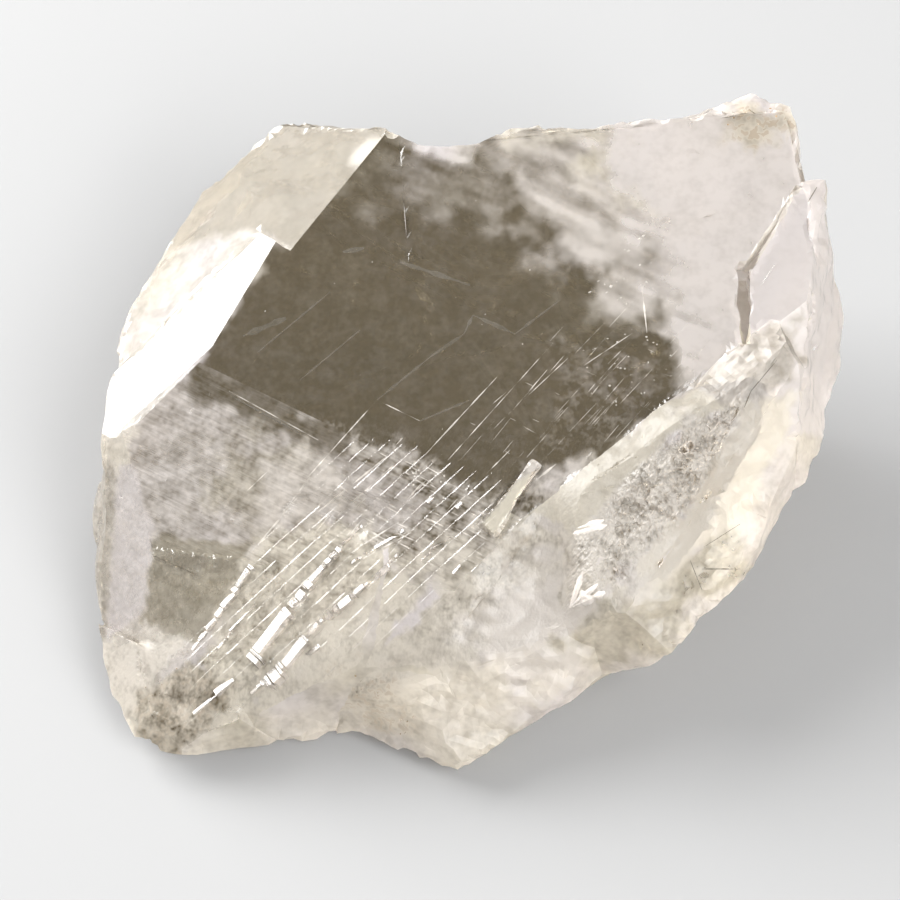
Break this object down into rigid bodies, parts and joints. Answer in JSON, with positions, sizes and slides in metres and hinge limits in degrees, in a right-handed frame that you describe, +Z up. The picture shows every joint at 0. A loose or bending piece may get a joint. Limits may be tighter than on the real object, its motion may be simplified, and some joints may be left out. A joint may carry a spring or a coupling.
{
  "type": "quartz crystal specimen",
  "caption": "Broad clear quartz crystal with flat natural faces, stepped growth ridges, an etched slab on its right and a broken underside it rests on.",
  "frame": {"origin": "middle of the crystal's footprint, on the surface it rests on", "axes": "+Z up from the broken underside, +X along the longest side toward the rounded right end, +Y away from the viewer who looks down on the large clear face"},
  "size_m": [0.0528, 0.0464, 0.0224],
  "materials": {
    "quartz": "natural clear quartz: bright flat growth faces, milky and etched areas, fresh shell-like breaks"
  },
  "bodies": {
    "root": {"quartz_crystal": "quartz"}
  },
  "joints": []
}
